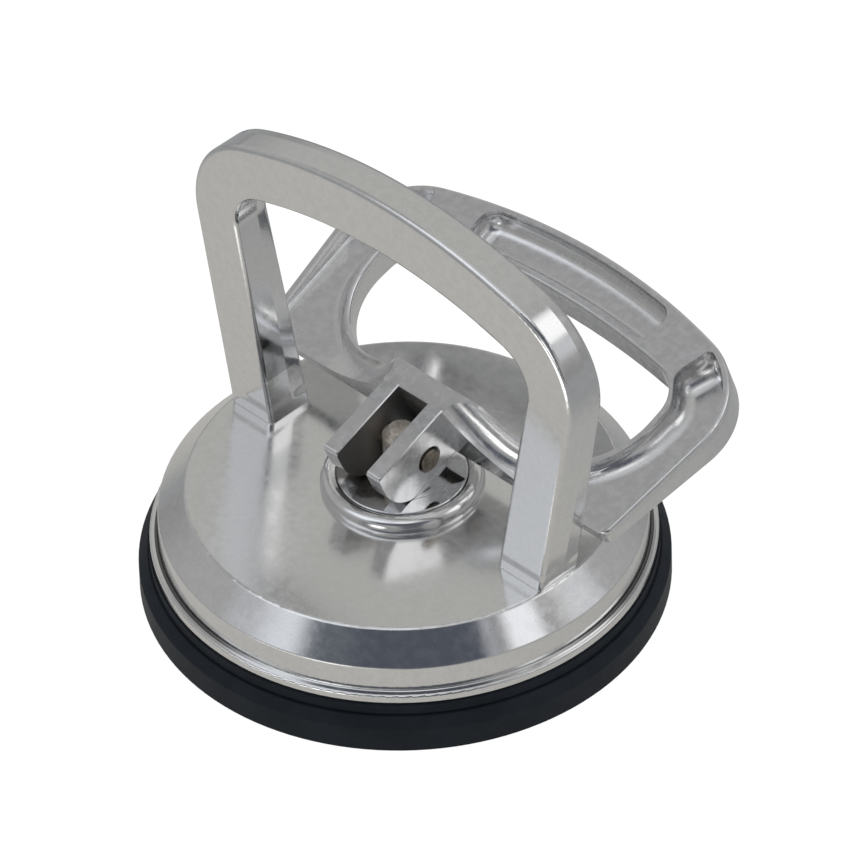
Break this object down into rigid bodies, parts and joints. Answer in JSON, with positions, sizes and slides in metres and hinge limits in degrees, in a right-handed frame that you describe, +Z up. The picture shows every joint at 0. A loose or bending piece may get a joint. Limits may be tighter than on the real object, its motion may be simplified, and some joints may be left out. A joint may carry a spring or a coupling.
{
  "type": "suction lifter",
  "caption": "Hand suction lifter: a flat rubber pad under a polished cast disc with an arched carrying handle and a hinged cam lever that draws the pad up.",
  "frame": {"origin": "centre of the flat rubber suction face, on the surface it is pressed to", "axes": "+Z up away from the suction face, X along the carrying handle, +Y towards the free end of the folded lever"},
  "size_m": [0.118, 0.1236, 0.1061],
  "materials": {
    "cast_aluminium": "die cast, polished on the outside, satin in the recesses",
    "disc_steel": "ground and polished",
    "bush_bronze": "sintered bronze, plain",
    "spring_steel": "bright drawn wire",
    "zinc_steel": "zinc plated",
    "stud_steel": "turned, brownish passivated",
    "black_rubber": "moulded, semi-matte"
  },
  "bodies": {
    "root": {"body_casting": "cast_aluminium", "wear_disc": "disc_steel", "guide_bush": "bush_bronze", "spring_seat": "zinc_steel", "return_spring": "spring_steel", "rubber_rim": "black_rubber", "rubber_web": "black_rubber"},
    "stud": {"rubber_centre": "black_rubber", "pad_plate": "zinc_steel", "pad_nut": "zinc_steel", "lock_washer": "zinc_steel", "draw_stud": "stud_steel", "cross_pin": "stud_steel"},
    "lever": {"lever_casting": "cast_aluminium"}
  },
  "joints": [
    {"name": "stud_slide", "type": "slide", "parent": "root", "child": "stud", "axis": [0, 0, 1], "range_m": [0, 0.00472], "stiffness_N_per_m": 2000, "springref_m": -0.004, "deforming": ["return_spring", "rubber_web"]},
    {"name": "lever_hinge", "type": "hinge", "parent": "stud", "child": "lever", "pos_m": [0, 0, 0.03615], "axis": [1, 0, 0], "range_deg": [0, 61.5]}
  ],
  "couplings": [
    {"joint": "lever_hinge", "follows": "stud_slide", "rad_per_m": 227.27}
  ]
}
